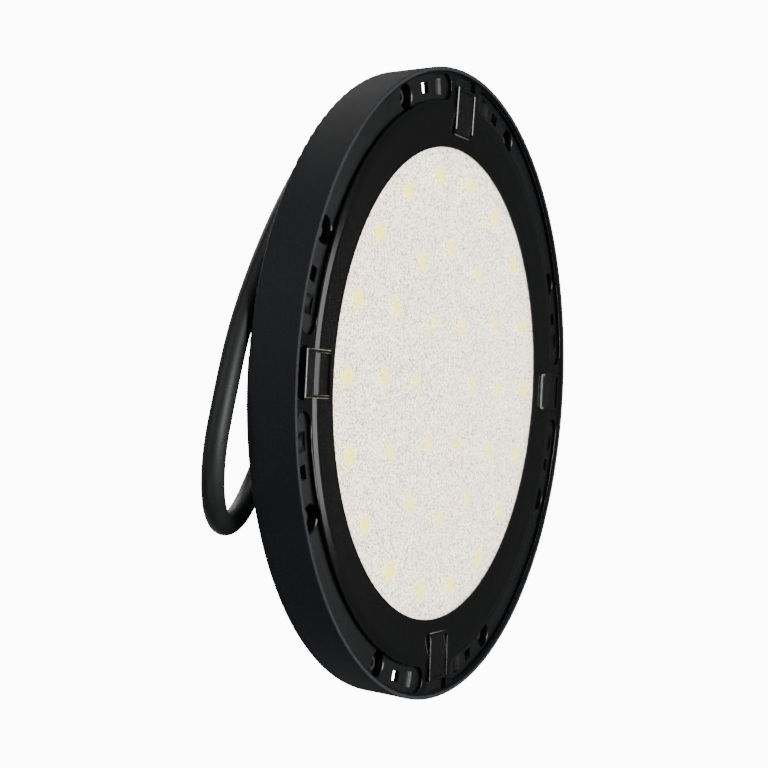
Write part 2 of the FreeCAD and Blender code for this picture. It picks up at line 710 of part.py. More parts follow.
def eye_bolt():
    """The eye, its collar and its shank, with the eye's axis along Y."""
    start = Vector(0, -EYE_WIDTH / 2, EYE_Z)
    across = Vector(0, 1, 0)
    ring = Part.makeCylinder(EYE_R + EYE_BAR, EYE_WIDTH, start, across)
    ring = ring.cut(Part.makeCylinder(EYE_R, EYE_WIDTH, start, across))
    ring = ring.makeFillet(EYE_ROUND, edges_where(ring, lambda e: len(e.Vertexes) == 1))
    collar = disc(COLLAR_R, COVER_TOP_Z, COVER_TOP_Z + COLLAR)
    upper = edges_where(collar, lambda e: e.BoundBox.ZMin > COVER_TOP_Z + COLLAR - FIT)
    collar = collar.makeFillet(COLLAR * HEAD_EASE, upper)
    shank = disc(EYE_SHANK_R, COVER_TOP_Z - EYE_SHANK, COVER_TOP_Z)
    return ring.fuse(collar).fuse(shank).removeSplitter()


def eye_washer():
    return tube(EYE_WASHER_R, EYE_SHANK_R + FIT, ROOF_Z - EYE_WASHER, ROOF_Z)


def eye_nut():
    top = ROOF_Z - EYE_WASHER
    nut = hexagon(EYE_NUT_FLATS, Vector(0, 0, top - EYE_NUT), EYE_NUT, Z_AXIS)
    return nut.cut(disc(EYE_SHANK_R + SCREW_FIT, top - EYE_NUT, top))


def vent_plug():
    at = Vector(VENT_X, 0, 0)
    head = post(VENT_HEAD_R, at, COVER_TOP_Z, COVER_TOP_Z + VENT_HEAD)
    upper = edges_where(head, lambda e: e.BoundBox.ZMin > COVER_TOP_Z + VENT_HEAD - FIT)
    head = head.makeFillet(VENT_HEAD * HEAD_EASE, upper)
    return head.fuse(post(VENT_R, at, COVER_TOP_Z - VENT_STUB, COVER_TOP_Z))


def gland_body():
    direction, at = radial_frame()
    stub = along_gland(GLAND_THREAD_R, GLAND_INNER_R - LOCK_NUT - FIT, GLAND_SEAT_R)
    nut = hexagon(GLAND_FLATS, at(GLAND_SEAT_R), GLAND_HEX, direction)
    neck = along_gland(GLAND_NECK_R, GLAND_SEAT_R + GLAND_HEX, GLAND_SEAT_R + GLAND_HEX + GLAND_NECK)
    bore = along_gland(LEAD_D / 2 + FIT, 0, DEEP)
    pocket_start = GLAND_SEAT_R + GLAND_HEX + GLAND_NECK - SEAL_LENGTH
    seal_room = along_gland(LEAD_D / 2 + SEAL_WALL + FIT, pocket_start, DEEP)
    return stub.fuse(nut).fuse(neck).cut(bore).cut(seal_room).removeSplitter()


def gland_seal():
    """The rubber sleeve that grips the lead inside the gland's neck."""
    start = GLAND_SEAT_R + GLAND_HEX + GLAND_NECK - SEAL_LENGTH
    return along_gland(LEAD_D / 2 + SEAL_WALL, start, start + SEAL_LENGTH - FIT).cut(
        along_gland(LEAD_D / 2 + FIT, start, start + SEAL_LENGTH))


def lock_nut():
    direction, at = radial_frame()
    nut = hexagon(GLAND_FLATS, at(GLAND_INNER_R - LOCK_NUT), LOCK_NUT, direction)
    return nut.cut(along_gland(GLAND_THREAD_R + SCREW_FIT, 0, GLAND_INNER_R))


def dome_nut():
    """The compression nut, with a hexagon behind and a cone in front."""
    direction, at = radial_frame()
    nut = hexagon(DOME_FLATS, at(DOME_START_R), DOME_HEX, direction)
    cone = Part.makeCone(DOME_FLATS / 2 - FIT, DOME_END_R, DOME, at(DOME_START_R + DOME_HEX), direction)
    inside = along_gland(GLAND_NECK_R + SCREW_FIT, DOME_START_R, DOME_START_R + GLAND_NECK)
    mouth = along_gland(SLEEVE_R + FIT, DOME_START_R, DEEP)
    return nut.fuse(cone).cut(inside).cut(mouth).removeSplitter()


def bend_sleeve():
    """The tapered rubber sleeve that guards the lead's first bend."""
    direction, at = radial_frame()
    start = DOME_START_R + GLAND_NECK
    collar = along_gland(SLEEVE_R, start, DOME_END)
    taper = Part.makeCone(SLEEVE_R, SLEEVE_TIP_R, SLEEVE_OUT, at(DOME_END), direction)
    return collar.fuse(taper).cut(along_gland(LEAD_D / 2 + FIT, 0, DEEP)).removeSplitter()


def lead_points():
    direction, at = radial_frame()
    route = [at(LEAD_START_R), at(LEAD_START_R + LEAD_FIRST_RUN)]
    return route + [Vector(*p) for p in LEAD_POINTS]


def swept_tube(points, radius):
    """A round tube along straight runs that tangent arcs join; returns it with its length."""
    edges = []
    length = 0.0
    radii = []
    here = points[0]
    for before, corner, after in zip(points, points[1:], points[2:]):
        start, middle, end, arc_r, turn = eased_corner(before, corner, after, ARC_SHARE)
        radii.append(round(arc_r, 1))
        edges.append(Part.LineSegment(here, start).toShape())
        edges.append(Part.Arc(start, middle, end).toShape())
        length += (start - here).Length + arc_r * turn
        here = end
    edges.append(Part.LineSegment(here, points[-1]).toShape())
    length += (points[-1] - here).Length
    path = Part.Wire(edges)
    heading = points[1] - points[0]
    ring = Part.Wire([Part.makeCircle(radius, points[0], heading)])
    solid = path.makePipeShell([ring], True, False)
    print("arc radii", radii)
    section = math.pi * radius ** 2
    print(f"tube length {length:.1f}, volume {solid.Volume:.1f}, section x length {section * length:.1f}")
    return solid


def bare_end():
    """Three cores that fan out of the lead's cut end, each with a crimped ferrule."""
    points = lead_points()
    end = points[-1]
    heading = end - points[-2]
    heading.normalize()
    side = heading.cross(Z_AXIS)
    side.normalize()
    over = side.cross(heading)
    cores = []
    collars = []
    for i in range(len(CORE_NAMES)):
        turn = math.radians(90 + 360.0 / len(CORE_NAMES) * i)
        offset = side * math.cos(turn) + over * math.sin(turn)
        sideways = side * math.cos(turn)
        lean = heading + sideways * math.tan(math.radians(CORE_SPREAD_DEG))
        lean.normalize()
        start = end + offset * CORE_PITCH_R + heading * CORE_START
        cores.append(Part.makeCylinder(CORE_R, CORE_LENGTH, start, lean))
        tip = start + lean * CORE_LENGTH
        collar = Part.makeCylinder(FERRULE_COLLAR_R, FERRULE_COLLAR, tip, lean)
        pin = Part.makeCylinder(FERRULE_PIN_R, FERRULE_PIN, tip + lean * FERRULE_COLLAR, lean)
        collars.append(collar.fuse(pin))
    return cores, collars


def inner_sheath():
    return along_gland(LEAD_D / 2, LEAD_INNER_R, LEAD_START_R)


def terminal_block():
    body = block(TERMINAL, (TERMINAL_R, 0), DRIVER_TOP_Z)
    return turned(body, GLAND_DEG)


def inlet_cores():
    """The three cores from the sheath's end to the terminal block."""
    direction, at = radial_frame()
    side = direction.cross(Z_AXIS)
    cores = []
    for i in (-1, 0, 1):
        start = at(TERMINAL_R + TERMINAL[0] / 2) + side * (i * 2 * (CORE_R + FIT))
        cores.append(Part.makeCylinder(CORE_R, LEAD_INNER_R - TERMINAL_R - TERMINAL[0] / 2, start, direction))
    return cores


def driver_board():
    board = disc(DRIVER_BOARD_R, DRIVER_BOARD_Z, DRIVER_TOP_Z)
    tools = [post(SPACER_SCREW_R + LOOSE, p, DRIVER_BOARD_Z, DRIVER_TOP_Z) for p in spacer_points()]
    return board.cut(Part.makeCompound(tools))


def spacers():
    pieces = []
    depth = SPACER_SCREW_LENGTH - DRIVER_BOARD + LOOSE
    for p in spacer_points():
        pillar = post(SPACER_R, p, HUB_Z, DRIVER_BOARD_Z)
        pieces.append(pillar.cut(post(SPACER_SCREW_R + SCREW_FIT, p, DRIVER_BOARD_Z - depth, DRIVER_BOARD_Z)))
    return pieces


def transformer():
    core = block(TRANSFORMER, TRANSFORMER_AT, DRIVER_TOP_Z)
    bobbin = block(BOBBIN, TRANSFORMER_AT, DRIVER_TOP_Z)
    return core.fuse(bobbin).removeSplitter()


def can(size, at):
    """A round capacitor can with an eased top edge."""
    radius, height = size
    body = post(radius, Vector(at[0], at[1], 0), DRIVER_TOP_Z, DRIVER_TOP_Z + height)
    return body.makeFillet(CAN_EASE, edges_where(body, lambda e: e.BoundBox.ZMin > DRIVER_TOP_Z + height - FIT))


def choke():
    outer, inner, height = CHOKE
    at = Vector(CHOKE_AT[0], CHOKE_AT[1], 0)
    top = DRIVER_TOP_Z + height
    return post(outer, at, DRIVER_TOP_Z, top).cut(post(inner, at, DRIVER_TOP_Z, top))


def grommet():
    body = tube(CORE_HOLE_R, GROMMET_BORE, PAN_FLOOR_Z, HUB_Z)
    lip = tube(GROMMET_LIP_R, GROMMET_BORE, HUB_Z, HUB_Z + GROMMET_LIP)
    return body.fuse(lip).removeSplitter()


def led_leads():
    return [post(WIRE_R, Vector(s * WIRE_HALF_GAP, 0, 0), BOARD_Z, DRIVER_BOARD_Z) for s in (-1, 1)]


def build():
    os.makedirs("parts", exist_ok=True)
    save("housing", housing())
    save("front_ring", front_ring())
    one_clip = clip()
    for name, angle in zip(("clip_top", "clip_right", "clip_bottom", "clip_left"), CLIP_ANGLES):
        save(name, turned(one_clip, angle))
    ring_screw = screw(RING_HEAD_R, RING_HEAD, RING_SCREW_R, RING_SCREW_LENGTH,
                       Vector(SCREW_PITCH_R, 0, 0), CUP_FLOOR_Z, -1)
    save("ring_screws", around(ring_screw, SCREW_ANGLES))
    save("lens", lens())
    save("lens_gasket", tube(SEAT_R - GASKET_EDGE, SEAT_R - GASKET_EDGE - GASKET_WIDTH, LENS_BACK_Z, SEAT_Z))
    save("led_board", led_board())
    save("led_chips", led_chips())
    save("thermal_pad", thermal_pad())
    save("board_screws", [screw(BOARD_HEAD_R, BOARD_HEAD, BOARD_SCREW_R, BOARD_SCREW_LENGTH, p, BOARD_Z, -1)
                          for p in board_screw_points()])
    save("board_connector", block(CONNECTOR, (0, 0), BOARD_Z - CONNECTOR[2]))
    save("led_leads", led_leads())
    save("grommet", grommet())
    save("cover_gasket", cover_gasket())
    save("driver_cover", driver_cover())
    save("cover_screws", [screw(COVER_HEAD_R, COVER_HEAD, COVER_SCREW_R, COVER_SCREW_LENGTH, p, FLANGE_TOP_Z, 1)
                          for p in cover_screw_points()])
    save("eye_bolt", eye_bolt())
    save("eye_washer", eye_washer())
    save("eye_nut", eye_nut())
    save("vent_plug", vent_plug())
    save("gland_body", gland_body())
    save("gland_lock_nut", lock_nut())
    save("gland_seal", gland_seal())
    save("gland_dome_nut", dome_nut())
    save("bend_sleeve", bend_sleeve())
    save("lead_inner_end", inner_sheath())
    save("mains_lead", swept_tube(lead_points(), LEAD_D / 2))
    cores, ferrules = bare_end()
    for name, core in zip(CORE_NAMES, cores):
        save(name, core)
    save("core_ferrules", ferrules)
    save("terminal_block", terminal_block())
    save("inlet_cores", inlet_cores())
    save("driver_board", driver_board())
    save("board_spacers", spacers())
    save("driver_board_screws", [screw(SPACER_HEAD_R, SPACER_HEAD, SPACER_SCREW_R, SPACER_SCREW_LENGTH, p,
                                       DRIVER_TOP_Z, 1) for p in spacer_points()])
    save("transformer", transformer())
    save("input_capacitor", can(INPUT_CAP, INPUT_CAP_AT))
    save("output_capacitor", can(OUTPUT_CAP, OUTPUT_CAP_AT))
    save("film_capacitor", block(FILM_CAP, FILM_CAP_AT, DRIVER_TOP_Z))
    save("filter_choke", choke())
    save("transistor_sink", block(SINK_PLATE, SINK_AT, DRIVER_TOP_Z))
    save("earth_screw", screw(EARTH_HEAD_R, EARTH_HEAD, COVER_SCREW_R, EARTH_SHANK,
                              polar(EARTH_SCREW_R, EARTH_SCREW_DEG), HUB_Z, 1))


build()
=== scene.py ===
import math

import bmesh
import bpy
from bpy.props import FloatProperty, FloatVectorProperty, PointerProperty
from mathutils import Matrix, Vector


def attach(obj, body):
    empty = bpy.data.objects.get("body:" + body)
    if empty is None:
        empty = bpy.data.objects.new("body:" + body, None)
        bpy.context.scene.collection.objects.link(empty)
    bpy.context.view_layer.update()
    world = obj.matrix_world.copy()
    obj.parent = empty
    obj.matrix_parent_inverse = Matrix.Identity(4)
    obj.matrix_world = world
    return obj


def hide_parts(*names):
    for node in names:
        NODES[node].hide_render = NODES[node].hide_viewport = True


bl_info = {
    "name": "High bay light",
    "version": (1, 0, 0),
    "blender": (4, 5, 0),
    "location": "View3D > Sidebar > High Bay",
    "description": "Dresses the packed high bay light with its finishes, its lead and its studio",
    "category": "Object",
}

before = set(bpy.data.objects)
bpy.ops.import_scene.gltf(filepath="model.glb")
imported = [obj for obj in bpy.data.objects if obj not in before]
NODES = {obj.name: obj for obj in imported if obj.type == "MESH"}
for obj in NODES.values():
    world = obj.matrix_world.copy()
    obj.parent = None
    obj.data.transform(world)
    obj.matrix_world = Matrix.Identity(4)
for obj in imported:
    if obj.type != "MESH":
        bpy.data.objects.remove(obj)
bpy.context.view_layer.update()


# Settings.

def length(name, description, default):
    """A length in metres."""
    return FloatProperty(name=name, description=description, default=default, min=0.0,
                         subtype="DISTANCE", unit="LENGTH")


def colour(name, description, default):
    """A linear colour."""
    return FloatVectorProperty(name=name, description=description, default=default, size=3,
                               min=0.0, max=1.0, subtype="COLOR")


def level(name, description, default):
    """A plain number from 0 upwards."""
    return FloatProperty(name=name, description=description, default=default, min=0.0)


def share(name, description, default):
    """A share from 0 to 1."""
    return FloatProperty(name=name, description=description, default=default, min=0.0, max=1.0,
                         subtype="FACTOR")


class BodySettings(bpy.types.PropertyGroup):
    """Finishes of the housing, the front ring and the clips."""

    powder_colour: colour("Powder coat", "Colour of the housing's powder coat",
                          (0.0068, 0.0075, 0.0092))
    powder_grain: length("Powder grain", "Size of the powder coat's grain", 0.0009)
    ring_colour: colour("Ring paint", "Colour of the front ring's paint", (0.0012, 0.0013, 0.0014))
    clip_colour: colour("Clip paint", "Colour of the clips' paint", (0.0018, 0.0018, 0.002))


class LensSettings(bpy.types.PropertyGroup):
    """Look of the frosted lens and of the lamps behind it."""

    lens_colour: colour("Lens", "Colour of the frosted lens", (1.0, 0.94, 0.75))
    lens_shade: colour("Lens clouds", "Colour of the lens's faint clouds", (1.0, 0.86, 0.76))
    lens_cover: share("Lens cover", "How far the lens hides what is behind it", 0.68)
    grain: length("Lens grain", "Size of the lens's stipple", 0.0011)
    # Strength of the lamps' phosphor glow, and of the painted glow that the board gives off round
    # each lamp.
    glow: level("Glow", "How strongly the lamps' colour lights the board", 2.5)
    # Painted glow of the lamps on the lens: how strongly it shows, and its colour.
    painted_glow_share: share("Lamp tint", "How far the lens takes the lamps' colour over them", 1.0)
    painted_glow_colour: colour("Lamp stain", "Colour of the lens over a lamp", (0.90, 0.85, 0.02))
    phosphor: colour("Phosphor", "Colour of the lamps' phosphor", (0.95, 0.80, 0.03))


class LeadSettings(bpy.types.PropertyGroup):
    """The mains lead."""

    diameter: length("Diameter", "Outer diameter of the mains lead", 0.009)
    sheath: colour("Sheath", "Colour of the lead's rubber sheath", (0.008, 0.0085, 0.009))


class StageSettings(bpy.types.PropertyGroup):
    """Floor, camera and lights."""

    floor_drop: length("Floor drop", "How far the floor lies below the light's rim", 1.9)
    floor_radius: length("Floor radius", "Radius at which the floor has faded away", 7.0)
    floor_colour: colour("Floor", "Colour of the pale floor", (0.72, 0.72, 0.71))
    fill: level("Fill light", "Light of the studio's walls on the part", 0.1)
    sheen: level("Sheen", "Brightness of the studio's walls in gloss", 0.06)
    backdrop: level("Backdrop", "Brightness of the backdrop in the picture", 12.0)
    lens_mm: level("Focal length", "Camera's focal length in millimetres", 73.19)


# Materials.

class Field:
    """A socket that adds Math nodes when values are combined with it."""

    def __init__(self, mat, socket):
        self.mat = mat
        self.socket = socket

    def _math(self, operation, first, second=None):
        values = {0: first}
        if second is not None:
            values[1] = second
        return self.mat.node("ShaderNodeMath", {"operation": operation}, values)

    def __add__(self, other):
        return self._math("ADD", self, other)

    def __radd__(self, other):
        return self._math("ADD", other, self)

    def __sub__(self, other):
        return self._math("SUBTRACT", self, other)

    def __rsub__(self, other):
        return self._math("SUBTRACT", other, self)

    def __mul__(self, other):
        return self._math("MULTIPLY", self, other)

    def __rmul__(self, other):
        return self._math("MULTIPLY", other, self)

    def max(self, other):
        return self._math("MAXIMUM", self, other)

    def sqrt(self):
        return self._math("SQRT", self)

    def angle_from(self, other):
        """The angle of the point (other, self) from the other's axis, in radians."""
        return self._math("ARCTAN2", self, other)

    def back_and_forth(self, reach):
        """A value that runs up to reach, back to 0, and so on."""
        return self._math("PINGPONG", self, reach)

    def step(self, low, high):
        """0 below low, 1 above high and smooth between them."""
        settings = {"interpolation_type": "SMOOTHSTEP"}
        values = {"Value": self, "From Min": low, "From Max": high}
        return self.mat.node("ShaderNodeMapRange", settings, values)


class Finish:
    """A node material with one Principled shader."""

    def __init__(self, name, roughness=0.5, metallic=0.0, **constants):
        self.material = bpy.data.materials.new(name)
        self.material.use_nodes = True
        self.tree = self.material.node_tree
        self.shader = next(n for n in self.tree.nodes if n.type == "BSDF_PRINCIPLED")
        self.set("Roughness", roughness)
        self.set("Metallic", metallic)
        for socket, value in constants.items():
            self.set(socket.replace("_", " "), value)
        self._place = None

    def node(self, kind, settings, values, output=0):
        """One node: its settings, then the values or links of its sockets."""
        made = self.tree.nodes.new(kind)
        for key, value in settings.items():
            setattr(made, key, value)
        for key, value in values.items():
            self._feed(made.inputs[key], value)
        return Field(self, made.outputs[output])

    def _feed(self, socket, value):
        if isinstance(value, Field):
            self.tree.links.new(value.socket, socket)
        elif socket.type == "RGBA" and len(value) == 3:
            socket.default_value = (*value, 1.0)
        else:
            socket.default_value = value

    def set(self, name, value):
        """A constant, straight on the shader's own socket."""
        self._feed(self.shader.inputs[name], value)

    def link(self, name, value):
        """What changes over the surface."""
        self._feed(self.shader.inputs[name], value)

    def place(self):
        """Object coordinates, in metres."""
        if self._place is None:
            self._place = self.node("ShaderNodeTexCoord", {}, {}, output="Object")
        return self._place

    def axes(self):
        """The three Object coordinates, each as a value."""
        split = self.tree.nodes.new("ShaderNodeSeparateXYZ")
        self.tree.links.new(self.place().socket, split.inputs[0])
        return [Field(self, socket) for socket in split.outputs]

    def radius(self):
        """Distance from the light's own axis."""
        x, y = self.axes()[:2]
        return (x * x + y * y).sqrt()

    def noise(self, size, detail=2.0, rough=0.5, stretch=(1, 1, 1)):
        """Noise whose blobs are about one size across, from 0 to 1."""
        vector = self.place()
        if stretch != (1, 1, 1):
            vector = self.node("ShaderNodeMapping", {}, {"Vector": vector, "Scale": stretch})
        values = {"Vector": vector, "Scale": 1.0 / size, "Detail": detail, "Roughness": rough}
        return self.node("ShaderNodeTexNoise", {}, values)

    def cells(self, size):
        """Distance to the nearest of many scattered points."""
        values = {"Vector": self.place(), "Scale": 1.0 / size}
        return self.node("ShaderNodeTexVoronoi", {"feature": "F1"}, values)

    def mix(self, factor, low, high):
        """A colour between two colours."""
        settings = {"data_type": "RGBA", "clamp_factor": True}
        factor_in, low_in, high_in, colour_out = 0, 6, 7, 2
        values = {factor_in: factor, low_in: low, high_in: high}
        return self.node("ShaderNodeMix", settings, values, output=colour_out)

    def bump(self, height, depth, strength):
        """A surface that rises by up to one depth, in metres."""
        values = {"Strength": strength, "Distance": depth, "Height": height}
        self.link("Normal", self.node("ShaderNodeBump", {}, values))


def tint(rgb, factor):
    """A colour made darker or paler, and never past white."""
    return tuple(min(1.0, c * factor) for c in rgb)


def powder_coat(settings):
    """Fine matte powder coat, rubbed a little paler in patches."""
    mat = Finish("powder_coat", roughness=0.62, Specular_IOR_Level=0.32)
    grain = mat.noise(settings.powder_grain, detail=3.0, rough=0.6)
    patches = mat.noise(0.035, detail=4.0)
    dark, pale = tint(settings.powder_colour, 0.78), tint(settings.powder_colour, 1.4)
    mat.link("Base Color", mat.mix(grain.step(0.35, 0.75), dark, pale))
    mat.link("Roughness", 0.56 + grain * 0.1 + patches * 0.06)
    mat.bump(grain, 0.00012, 0.55)
    return mat.material


# Where the floors of the ring's pockets begin: from the front and from the axis, in metres.
POCKET_FLOOR_Z = (0.0027, 0.003)
POCKET_INNER_R = (0.1252, 0.1256)


def ring_paint(settings):
    """Smooth semi-gloss paint, grainier on the floors of the pockets."""
    mat = Finish("ring_paint", roughness=0.22, Specular_IOR_Level=0.5)
    z = mat.axes()[2]
    floor = z.step(*POCKET_FLOOR_Z) * mat.radius().step(*POCKET_INNER_R)
    grain = mat.noise(0.0008, detail=2.0, rough=0.7)
    drift = mat.noise(0.05, detail=3.0)
    pale = tint(settings.ring_colour, 1.6)
    mat.link("Base Color", mat.mix(floor * grain.step(0.3, 0.7), settings.ring_colour, pale))
    mat.link("Roughness", 0.15 + drift * 0.05 + floor * 0.14)
    mat.bump(grain * (0.12 + floor), 0.00012, 0.5)
    return mat.material


def clip_paint(settings):
    """Painted sheet steel with faint rolling marks."""
    mat = Finish("clip_paint", roughness=0.22, Specular_IOR_Level=0.5)
    rolled = mat.noise(0.004, detail=3.0, stretch=(1.0, 6.0, 1.0))
    speck = mat.noise(0.0007, detail=1.0)
    dark, pale = tint(settings.clip_colour, 0.8), tint(settings.clip_colour, 1.5)
    mat.link("Base Color", mat.mix(rolled.step(0.3, 0.8), dark, pale))
    mat.link("Roughness", 0.16 + rolled * 0.12)
    mat.bump(speck, 0.00006, 0.35)
    return mat.material


# Rings of lamps on the board: radius, count, the first lamp's angle in degrees,
# and how strongly the ring's painted glow shows on the lens and on the board.
LAMP_RINGS = (
    (0.0307, 6, 30.0, 0.7),
    (0.0604, 12, 0.0, 0.8),
    (0.0931, 18, 10.0, 1.0),
)
# Distances from a lamp at which the painted glow round it begins to fade and ends, in metres.
LAMP_GLOW_FADE = (0.00068, 0.0068)


def painted_lamp_glow(mat):
    """Mask of the painted glow: 1 over each lamp, fading to 0 round it."""
    x, y = mat.axes()[:2]
    angle = y.angle_from(x)
    radius = mat.radius()
    glow = None
    for ring_r, count, first, strength in LAMP_RINGS:
        turn = (angle - math.radians(first)).back_and_forth(math.pi / count)
        aside = turn * ring_r
        out = radius - ring_r
        gap = (aside * aside + out * out).sqrt()
        near = (1 - gap.step(*LAMP_GLOW_FADE)) * strength
        glow = near if glow is None else glow.max(near)
    return glow


def frosted_lens(settings):
    """Frosted diffuser with a fine stipple, through which the lamps show faintly, with a painted
    yellow glow over and round each lamp.
    """
    mat = Finish("frosted_lens", roughness=0.55, Specular_IOR_Level=0.3, Alpha=settings.lens_cover)
    stipple = mat.noise(settings.grain, detail=2.0, rough=0.75)
    fine = mat.cells(settings.grain * 0.75)
    cloud = mat.noise(0.03, detail=3.0)
    speckled = (stipple * 0.7 + fine * 0.35).step(0.33, 0.64)
    clouded = mat.mix(cloud.step(0.35, 0.7) * 0.7, settings.lens_colour, settings.lens_shade)
    tone = mat.mix(speckled, tint(settings.lens_colour, 0.05), clouded)
    # Painted glow of the lamps: yellow over and round each lamp.
    mat.link("Base Color", mat.mix(painted_lamp_glow(mat) * settings.painted_glow_share, tone, settings.painted_glow_colour))
    mat.bump(speckled, 0.00012, 0.6)
    return mat.material


def board_painted_glow(settings):
    """White solder mask with a painted yellow glow round each lamp: phosphor yellow in its colour
    and a glow of its own there.
    """
    mat = Finish("board_painted_glow", roughness=0.4, Emission_Strength=settings.glow)
    patches = mat.noise(0.02, detail=2.0)
    mask = mat.mix(patches, (0.82, 0.82, 0.8), (0.9, 0.9, 0.88))
    # Painted glow round each lamp: phosphor yellow in the board's colour and in its own emission.
    near = painted_lamp_glow(mat)
    mat.link("Base Color", mat.mix(near, mask, settings.phosphor))
    mat.link("Emission Color", mat.mix(near, (0.0, 0.0, 0.0), settings.phosphor))
    mat.bump(mat.noise(0.003), 0.00004, 0.3)
    return mat.material


def phosphor(settings):
    """Yellow phosphor of the lamps, which glows a little."""
    mat = Finish("phosphor", roughness=0.45, Emission_Strength=settings.glow)
    grain = mat.noise(0.0005, detail=2.0)
    tone = mat.mix(grain, tint(settings.phosphor, 0.88), settings.phosphor)
    mat.link("Base Color", tone)
    mat.link("Emission Color", tone)
    return mat.material


def plain(name, rgb, roughness, grain=0.001, contrast=0.2, metallic=0.0, **constants):
    """A plain finish with a fine grain in its colour, gloss and surface."""
    mat = Finish(name, roughness=roughness, metallic=metallic, **constants)
    fine = mat.noise(grain, detail=3.0, rough=0.6)
    broad = mat.noise(grain * 18, detail=3.0)
    blend = (fine * 0.5 + broad * 0.5).step(0.3, 0.7)
    mat.link("Base Color", mat.mix(blend, tint(rgb, 1 - contrast), tint(rgb, 1 + contrast)))
    mat.link("Roughness", (roughness - 0.05) + broad * 0.1)
    mat.bump(fine, 0.00005, 0.5)
    return mat.material


# Height at which the earth core's green side turns into its yellow side, in metres.
EARTH_STRIPE_Z = (10.9 / 420.0, 11.1 / 420.0)


def earth_insulation():
    """Green insulation with a yellow side along the core."""
    mat = Finish("earth_insulation", roughness=0.45)
    z = mat.axes()[2]
    stripe = z.step(*EARTH_STRIPE_Z)
    mat.link("Base Color", mat.mix(stripe, (0.07, 0.3, 0.06), (0.7, 0.58, 0.05)))
    mat.bump(mat.noise(0.001), 0.00004, 0.3)
    return mat.material


# Pieces.

def give(obj, material):
    """One material over a whole object."""
    obj.data.materials.clear()
    obj.data.materials.append(material)


def finish_nodes(material, *names):
    """One material over each of these CAD nodes."""
    for name in names:
        give(NODES[name], material)


MILLIMETRE = 0.001

# The lead's route, point by point, in millimetres: the same points as the solid lead's.
LEAD_ROUTE = (
    (62.173, 28.992, 36.0),
    (73.411, 34.232, 36.0),
    (85.8, 36.1, 35.5),
    (98.2, 34.5, 34.8),
    (109.7, 29.5, 34.0),
    (119.3, 21.5, 33.0),
    (126.3, 11.1, 32.0),
    (130.1, -0.8, 31.0),
    (130.5, -13.3, 30.0),
    (127.3, -25.4, 29.2),
    (117.5, -46.5, 28.5),
    (103.0, -70.0, 28.0),
    (84.5, -91.5, 28.2),
    (63.0, -108.0, 28.8),
    (41.0, -122.0, 29.0),
    (16.0, -135.0, 29.0),
    (-9.0, -144.0, 28.0),
    (-33.0, -147.0, 30.0),
    (-53.0, -139.0, 34.0),
    (-62.0, -120.0, 41.0),
    (-58.0, -99.0, 47.0),
    (-44.0, -83.0, 50.0),
    (-23.0, -76.0, 46.0),
    (-1.0, -77.0, 38.0),
    (21.0, -79.0, 30.0),
    (43.0, -74.0, 27.0),
    (61.0, -60.0, 27.0),
)


class LIGHT_OT_lead(bpy.types.Operator):
    """Lays the mains lead along its route and colours its bare end."""

    bl_idname = "high_bay.lead"
    bl_label = "Mains lead"

    def execute(self, context):
        settings = context.scene.high_bay_lead
        sheath = plain("lead_rubber", settings.sheath, 0.5, grain=0.0008, contrast=0.25,
                       Specular_IOR_Level=0.45)
        curve = bpy.data.curves.new("mains_lead_line", "CURVE")
        curve.dimensions = "3D"
        spline = curve.splines.new("NURBS")
        spline.points.add(len(LEAD_ROUTE) - 1)
        for point, place in zip(spline.points, LEAD_ROUTE):
            point.co = (*(MILLIMETRE * v for v in place), 1.0)
        spline.order_u = 3
        spline.use_endpoint_u = True
        spline.resolution_u = 12
        curve.bevel_depth = settings.diameter / 2
        curve.bevel_resolution = 8
        curve.use_fill_caps = True
        lead = bpy.data.objects.new("mains_lead_line", curve)
        context.collection.objects.link(lead)
        give(lead, sheath)
        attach(lead, "root")
        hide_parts("mains_lead")
        finish_nodes(sheath, "lead_inner_end")
        finish_nodes(plain("brown_insulation", (0.2, 0.085, 0.04), 0.45), "live_core")
        finish_nodes(plain("blue_insulation", (0.04, 0.13, 0.42), 0.45), "neutral_core")
        finish_nodes(earth_insulation(), "earth_core")
        finish_nodes(plain("inlet_insulation", (0.2, 0.1, 0.05), 0.45), "inlet_cores")
        tinned = plain("tinned_ferrule", (0.75, 0.7, 0.6), 0.3, metallic=1.0, contrast=0.1)
        finish_nodes(tinned, "core_ferrules")
        return {"FINISHED"}


class LIGHT_OT_body(bpy.types.Operator):
    """Finishes the housing, the front ring, the clips and their screws."""

    bl_idname = "high_bay.body"
    bl_label = "Housing, ring and clips"

    def execute(self, context):
        settings = context.scene.high_bay_body
        finish_nodes(powder_coat(settings), "housing", "driver_cover")
        finish_nodes(ring_paint(settings), "front_ring")
        finish_nodes(clip_paint(settings), "clip_top", "clip_right", "clip_bottom", "clip_left")
        black_screw = plain("black_screw", (0.02, 0.02, 0.021), 0.4, metallic=0.5, contrast=0.25)
        finish_nodes(black_screw, "ring_screws", "cover_screws")
        zinc = plain("zinc_plate", (0.62, 0.62, 0.58), 0.32, metallic=1.0, contrast=0.08)
        finish_nodes(zinc, "board_screws", "driver_board_screws", "eye_washer", "eye_nut")
        brass = plain("earth_brass", (0.7, 0.5, 0.2), 0.3, metallic=1.0, contrast=0.1)
        finish_nodes(brass, "earth_screw")
        finish_nodes(plain("eye_paint", (0.018, 0.018, 0.02), 0.38, contrast=0.25), "eye_bolt")
        nylon = plain("black_nylon", (0.02, 0.02, 0.021), 0.42, contrast=0.2)
        finish_nodes(nylon, "vent_plug", "gland_body", "gland_lock_nut", "gland_dome_nut")
        rubber = plain("seal_rubber", (0.02, 0.02, 0.02), 0.7, contrast=0.2)
        finish_nodes(rubber, "lens_gasket", "grommet", "cover_gasket", "gland_seal", "bend_sleeve")
        return {"FINISHED"}


